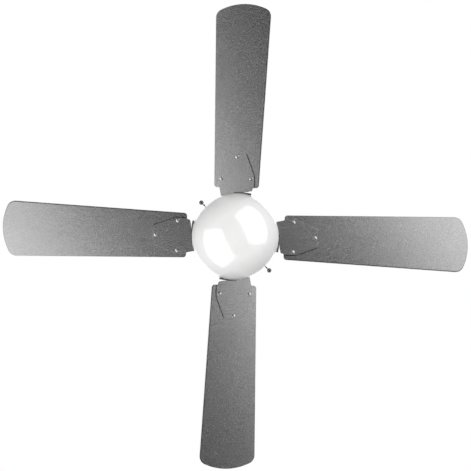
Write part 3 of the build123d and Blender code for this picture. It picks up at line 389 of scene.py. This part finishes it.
rubber = grainy("seal_rubber", (0.020, 0.020, 0.020), 0.72, patch=200, patch_depth=0.2, grain=2000,
                grain_depth=0.2, relief=0.00004)
porcelain = grainy("lamp_porcelain", (0.80, 0.79, 0.76), 0.18, patch=80, patch_depth=0.03, grain=1200,
                   grain_depth=0.03, relief=0.00001, Coat_Weight=0.6, Coat_Roughness=0.08)
frosted = grainy("frosted_lamp", (0.88, 0.88, 0.86), 0.40, patch=100, patch_depth=0.02, grain=2500,
                 grain_depth=0.03, relief=0.00001, Subsurface_Weight=0.2, Subsurface_Scale=0.01)
opal = opal_with_painted_side_shade("opal_glass", (0.90, 0.90, 0.895))

finishes_and_painted_shade = {
    silver: ["canopy", "downrod", "yoke_cover", "upper_housing", "switch_housing", "light_pan"],
    blade_silver_and_edge_shade: ["blade_1", "blade_2", "blade_3", "blade_4"],
    nickel_with_painted_dark_reflection: ["chain_guides", "speed_chain_fob", "light_chain_fob"],
    steel: ["hanger_bracket", "ball_pin", "motor_yoke", "yoke_bolt", "yoke_set_screws", "motor_shaft",
            "bearing_inner_rings", "bearing_outer_rings", "rotor_screws", "switch_plate", "shaft_nuts",
            "lamp_nipple", "nipple_nuts", "lamp_bracket", "bulb_bases", "glass_collar"],
    cast: ["rotor_upper_bell", "rotor_lower_bell"],
    laminated: ["stator_core", "rotor_ring"],
    copper: ["stator_coils"],
    nylon: ["hanger_ball", "reverse_knob", "reverse_switch_body", "capacitor"],
    grey: ["speed_switch_body", "light_switch_body", "speed_switch_drum", "light_switch_drum"],
    rubber: ["bearing_seals"],
    porcelain: ["lamp_holders"],
    frosted: ["lamp_bulbs"],
}

# Camera, straight below the fan and turned as the photograph is
camera_turn = math.radians(2.34)
camera_distance = 2.352
camera_shift = (0.00045, 0.0020)
right = Vector((math.cos(camera_turn), -math.sin(camera_turn), 0))
up = Vector((-math.sin(camera_turn), -math.cos(camera_turn), 0))
back = right.cross(up)
camera_data = bpy.data.cameras.new("camera")
camera_data.lens = 71.1
camera_data.sensor_width = 36
camera = bpy.data.objects.new("camera", camera_data)
view = Matrix((right, up, back)).transposed().to_4x4()
view.translation = Vector((0, 0, -camera_distance)) + right * camera_shift[0] + up * camera_shift[1]
camera.matrix_world = view
collection.objects.link(camera)
bpy.context.scene.camera = camera
bpy.context.scene.view_settings.view_transform = "Standard"


# Pull chains: balls on links along a plumb line

def route_points(name, points, samples):
    """Evenly spaced points of a NURBS curve through the route."""
    curve = bpy.data.curves.new(name, "CURVE")
    curve.dimensions = "3D"
    curve.resolution_u = samples
    spline = curve.splines.new("NURBS")
    spline.points.add(len(points) - 1)
    for point, place in zip(spline.points, points):
        point.co = (*place, 1)
    spline.order_u = 3
    spline.use_endpoint_u = True
    holder = bpy.data.objects.new(name, curve)
    line = bpy.data.meshes.new_from_object(holder)
    route = [vertex.co.copy() for vertex in line.vertices]
    bpy.data.objects.remove(holder)
    bpy.data.meshes.remove(line)
    return route


def along(route, distance):
    for start, end in zip(route, route[1:]):
        step = (end - start).length
        if distance <= step:
            return start.lerp(end, distance / step)
        distance -= step
    return route[-1].copy()


def ball_chain(name, route, diameter):
    total = sum((b - a).length for a, b in zip(route, route[1:]))
    pitch = diameter * 1.36
    link_radius = diameter * 0.14
    count = int((total - diameter) // pitch) + 1
    start = (total - pitch * (count - 1)) / 2
    ball = lathe("ball", arc((0, 0), diameter / 2, -90, 90, 8), 14)
    link = lathe("link", [(link_radius, -pitch / 2), (link_radius, pitch / 2)], 8)
    end_link = lathe("end_link", [(link_radius, -start / 2), (link_radius, start / 2)], 8)
    sets = (("balls", ball, [start + pitch * step for step in range(count)]),
            ("links", link, [start + pitch * (step + 0.5) for step in range(count - 1)]),
            ("ends", end_link, [start / 2, total - start / 2]))
    bm = bmesh.new()
    for label, mesh, distances in sets:
        places = [Matrix.Translation(along(route, distance)) for distance in distances]
        bm.from_mesh(many(f"{name}_{label}", mesh, places))
    return to_mesh(name, bm)


for use, angle in (("speed", chain_angle), ("light", chain_angle + math.pi)):
    top = Vector((chain_circle * math.cos(angle), chain_circle * math.sin(angle), chain_top)) * MM
    bottom = top - Vector((0, 0, chain_length * MM))
    route = route_points(use + "_route", [top, top.lerp(bottom, 0.5), bottom], 24)
    mesh = ball_chain(use + "_ball_chain", route, chain_diameter * MM)
    # The chain takes the nickel darkened as a painted reflection
    chain = add_piece(use + "_ball_chain", mesh, use + "_pull", nickel_with_painted_dark_reflection)
    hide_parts(use + "_chain")

# Finishes of the CAD nodes, some with painted shade
for material, names in finishes_and_painted_shade.items():
    for name in names:
        for slot in nodes[name].material_slots:
            slot.material = material


# Blade irons: stamped plates. Their bend is slanted, so that the leading half of the pad goes on to the glass

def iron_mesh():
    """An iron as the union of a level flange, an upright riser and a pitched pad, all of one thickness."""
    half = neck_width / 2
    drop = math.sin(blade_pitch)
    run = math.cos(blade_pitch)
    middle = bell_underside - pad_drop / 2

    def on_pad(x, across):
        return Vector((x, across * run - blade_lead, middle - across * drop)) * MM

    def on_flange(x, across):
        return Vector((x, across * run - blade_lead, bell_underside)) * MM

    slim = -iron_bend_start[1]
    corner = iron_inner_corner
    rounded = [(iron_inner + corner * (1 - math.sin(turn)), slim - corner * (1 - math.cos(turn)))
               for turn in (math.pi / 2 * step / 6 for step in range(7))]
    flange = [iron_bend_start, iron_bend_end, *iron_flange_edge, (iron_bend_start[0], slim)]
    flange += rounded + [(x, -y) for x, y in reversed(rounded)]

    neck_end, flare_end, taper_start, end = iron_profile
    wide = iron_width / 2
    narrow = iron_end_width / 2
    tip_turn = math.pi / 2 - math.atan2(wide - narrow, end - taper_start)
    centre = (end - iron_corner, narrow - iron_corner * math.tan(tip_turn / 2))
    tip = arc(centre, iron_corner, 0, math.degrees(tip_turn), 5)
    pad = [iron_bend_start, (neck_end, -half), (flare_end, -wide), (taper_start, -wide)]
    pad += [(x, -y) for x, y in reversed(tip)] + tip
    pad += [(taper_start, wide), (flare_end, wide), (neck_end, half)]
    pad += [*reversed(iron_pad_edge), iron_bend_end]

    riser = [on_flange(*iron_bend_start), on_pad(*iron_bend_start),
             on_pad(*iron_bend_end), on_flange(*iron_bend_end)]
    outward = (riser[3] - riser[0]).cross(Vector((0, 0, 1))).normalized()
    plates = (([on_flange(*spot) for spot in flange], Vector((0, 0, -1))),
              (riser, outward),
              ([on_pad(*spot) for spot in pad], Vector((0, -drop, -run))))
    slabs = []
    for corners, depth in plates:
        bm = bmesh.new()
        face = bm.faces.new([bm.verts.new(corner) for corner in corners])
        made = bmesh.ops.extrude_face_region(bm, geom=[face], use_keep_orig=True)
        bmesh.ops.translate(bm, vec=depth * iron_thickness * MM,
                            verts=[item for item in made["geom"] if isinstance(item, bmesh.types.BMVert)])
        bmesh.ops.recalc_face_normals(bm, faces=bm.faces)
        slabs.append(helper_object(to_mesh("slab", bm)))
    for slab in slabs[1:]:
        add_boolean(slabs[0], "UNION", slab)
    edge = slabs[0].modifiers.new("edge", "BEVEL")
    edge.width = iron_edge_round * MM
    edge.segments = 2
    edge.limit_method = "ANGLE"
    return modified_mesh(slabs)


stamped = iron_mesh()
blade_turns = [turned(360 / blade_count * number) for number in range(blade_count)]
for number, blade_turn in enumerate(blade_turns, 1):
    name = f"stamped_iron_{number}"
    mesh = many(name, stamped, [blade_turn])
    piece = add_piece(name, mesh, "rotor", iron_silver_and_edge_shade, smooth=False)
    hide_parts(f"blade_iron_{number}")


# Screws with domed cross-recess heads

def screw_mesh(head_radius, head_height, shank_radius, shank_length):
    """A low domed screw, its cross recess black as painted shade. Its head points to +Z, and its seat is at
    height 0.
    """
    dome_slope = 36
    cap_radius = head_radius / math.sin(math.radians(dome_slope))
    rim_height = head_height - cap_radius * (1 - math.cos(math.radians(dome_slope)))
    shank = [(0, -shank_length), (shank_radius * 0.6, -shank_length),
             (shank_radius, -shank_length + 0.8 * MM), (shank_radius, 0)]
    edge = [(head_radius - 0.12 * MM, 0), (head_radius, 0.15 * MM), (head_radius, rim_height * 0.9)]
    dome = arc((0, head_height - cap_radius), cap_radius, 90 - dome_slope, 90, 9)[:-1]
    head = helper_object(lathe("head", shank + edge + dome + [(0, head_height)], 48))

    recess_length = head_radius * 1.2
    recess_width = head_radius * 0.3
    recess_depth = head_height * 0.62
    floor_share = 0.6
    bm = bmesh.new()
    for turn in (0, 90):
        bmesh.ops.create_cube(bm, size=1, matrix=(
            turned(turn) @ Matrix.Translation((0, 0, head_height))
            @ Matrix.Diagonal((recess_length, recess_width, 2 * recess_depth, 1))))
    for vert in bm.verts:
        if vert.co.z < head_height:
            vert.co.x *= floor_share
            vert.co.y *= floor_share
    recess = helper_object(to_mesh("recess", bm))

    placeholders = [bpy.data.materials.new(f"slot_{number}") for number in range(2)]
    for helper in (head, recess):
        for placeholder in placeholders:
            helper.data.materials.append(placeholder)
    for face in recess.data.polygons:
        face.material_index = 1
    add_boolean(head, "DIFFERENCE", recess).use_self = True
    mesh = modified_mesh([head, recess])
    for placeholder in placeholders:
        bpy.data.materials.remove(placeholder)
    mesh.materials.clear()
    return mesh


def replace_screws(name, node_name, body, sizes, places):
    mesh = screw_mesh(*(size * MM for size in sizes))
    piece = add_piece(name, many(name, mesh, places), body, chrome)
    # The recess faces get the black painted shade
    piece.data.materials.append(recess_painted_shade)
    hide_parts(node_name)


def side_places(spots):
    """Places on a wall round the fan, heads outwards."""
    return [turned(angle) @ moved(radius, 0, height) @ Matrix.Rotation(math.pi / 2, 4, "Y")
            for angle, radius, height in spots]


over = Matrix.Rotation(math.pi, 4, "X")
pad = moved(0, -blade_lead, bell_underside - pad_drop / 2) @ Matrix.Rotation(-blade_pitch, 4, "X")
iron_places = [blade_turn @ moved(x, y - blade_lead, bell_underside - iron_thickness) @ over
               for blade_turn in blade_turns for x, y in iron_screw_spots]
blade_places = [blade_turn @ pad @ moved(x, y, -iron_thickness) @ over
                for blade_turn in blade_turns for x, y in blade_screw_spots]
housing_places = [turned(angle) @ moved(radius, 0, height) for angle, radius, height in housing_screw_spots]
replace_screws("iron_screw_set", "iron_screws", "rotor", iron_screw, iron_places)
replace_screws("blade_screw_set", "blade_screws", "rotor", blade_screw, blade_places)
replace_screws("canopy_screw_set", "canopy_screws", "ceiling_mount", canopy_screw,
               side_places(canopy_screw_spots))
replace_screws("switch_housing_screw_set", "switch_housing_screws", "hanging_frame", switch_housing_screw,
               side_places(switch_housing_screw_spots))
replace_screws("housing_screw_set", "housing_screws", "hanging_frame", housing_screw, housing_places)


# Opal glass bowl: one blown wall with a ground rim

def bowl_profile(inset):
    """The bowl's outline from its lowest point to its neck, drawn inset by a wall, in metres."""
    centre = bowl_radius - bowl_side_radius
    fall = bowl_depth - bowl_side_radius
    floor_radius = bowl_side_radius + (centre**2 + fall**2) / (2 * fall)
    join = math.degrees(math.atan2(centre, floor_radius - bowl_depth))
    shoulder_centre = bowl_radius - bowl_shoulder_radius
    shoulder_turn = math.degrees(math.acos((bowl_neck_radius - shoulder_centre) / bowl_shoulder_radius))
    bottom = arc((0, bowl_middle - bowl_depth + floor_radius), floor_radius - inset, -90, -90 + join, 32)
    flank = arc((centre, bowl_middle), bowl_side_radius - inset, -90 + join, 0, 16)[1:]
    shoulder = arc((shoulder_centre, bowl_middle), bowl_shoulder_radius - inset, 0, shoulder_turn, 12)[1:]
    return [(0, bottom[0][1] * MM)] + [(r * MM, z * MM) for r, z in bottom[1:] + flank + shoulder]


ground_rim = [((bowl_neck_radius - inset) * MM, (bowl_top - fall) * MM) for inset, fall in bowl_ground_rim]
wall_line = bowl_profile(0) + ground_rim + bowl_profile(bowl_wall)[::-1]
bowl = add_piece("opal_bowl", lathe("opal_bowl", wall_line, 160), "glass_shade", opal)
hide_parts("glass_dome")

# Floor, light and world, in metres and degrees
floor_half = 200
floor_height = -14
floor_fade = (11.4, 18.8)
softbox_angles = (32, 212)
softbox_radius = 6.96
softbox_height = -4.32
softbox_size = (16.3, 11.16)
softbox_radiance = 2.1
softbox_lean = (0.0742, 0.119)
softbox_aim = Vector((0, 0, -0.6))
overhead_height = 1.2
overhead_size = (2.4, 2.4)
overhead_radiance = 1.2

floor_mesh = bpy.data.meshes.new("floor")
corners = [(x * floor_half, y * floor_half, floor_height) for x, y in ((-1, -1), (1, -1), (1, 1), (-1, 1))]
floor_mesh.from_pydata(corners, [], [(0, 1, 2, 3)])
floor = bpy.data.objects.new("floor", floor_mesh)
collection.objects.link(floor)


def seen_directly(tree):
    """1 for a camera, glossy or transmission ray."""
    path = tree.nodes.new("ShaderNodeLightPath")
    total = path.outputs["Is Camera Ray"]
    for label in ("Is Glossy Ray", "Is Transmission Ray"):
        total = maths(tree, "MAXIMUM", total, path.outputs[label])
    return total


pale = (0.84, 0.84, 0.84)
floor_material, tree, plain = shader("pale_floor", pale, 0.9, Specular_IOR_Level=0.1)
spot = place_of(tree)
grain = spread(tree, noise(tree, spot, 6), 0.985, 1.015)
tree.links.new(shade(tree, pale, grain), plain.inputs["Base Color"])
level_spot = node(tree, "ShaderNodeMapping", Vector=spot, Scale=(1, 1, 0)).outputs["Vector"]
far = spread(tree, vector_maths(tree, "LENGTH", level_spot, result="Value"), 0, 1, *floor_fade)
glow = tree.nodes.new("ShaderNodeEmission")
share = times(tree, far, seen_directly(tree))
cover = mix_shaders(tree, share, plain.outputs["BSDF"], glow.outputs["Emission"])
tree.links.new(cover, tree.nodes["Material Output"].inputs["Surface"])
floor_mesh.materials.append(floor_material)

world = bpy.data.worlds.new("studio")
world.use_nodes = True
bpy.context.scene.world = world
tree = world.node_tree
room = tree.nodes["Background"]
room.inputs["Color"].default_value = (0.03, 0.03, 0.03, 1)
white = node(tree, "ShaderNodeBackground", Color=(1, 1, 1, 1))
sky = mix_shaders(tree, seen_directly(tree), room.outputs["Background"], white.outputs["Background"])
tree.links.new(sky, tree.nodes["World Output"].inputs["Surface"])


def soft_light(name, place, facing, along_side, size, radiance):
    """A rectangular light at place. It faces facing, and its longer side lies along along_side."""
    light = bpy.data.lights.new(name, "AREA")
    light.shape = "RECTANGLE"
    light.size, light.size_y = size
    light.energy = radiance * math.pi * size[0] * size[1]
    lamp = bpy.data.objects.new(name, light)
    z = -facing.normalized()
    x = along_side.normalized()
    y = z.cross(x)
    spin = Matrix((x, y, z)).transposed().to_4x4()
    spin.translation = place
    lamp.matrix_world = spin
    lamp.visible_camera = False
    collection.objects.link(lamp)


# The two soft boxes whose reflections the glass shows, at their angles in the picture
for number, picture_angle in enumerate(softbox_angles):
    angle = math.radians(picture_angle)
    outward = right * math.cos(angle) + up * math.sin(angle)
    sideways = right * -math.sin(angle) + up * math.cos(angle)
    place = outward * softbox_radius + Vector((0, 0, softbox_height))
    along_outward, along_z = softbox_lean
    sideways += Vector((along_outward * outward.x, along_outward * outward.y, along_z))
    soft_light(f"softbox_{number}", place, softbox_aim - place, sideways, softbox_size, softbox_radiance)
soft_light("overhead", Vector((0, 0, overhead_height)), Vector((0, 0, -1)), Vector((1, 0, 0)), overhead_size,
           overhead_radiance)
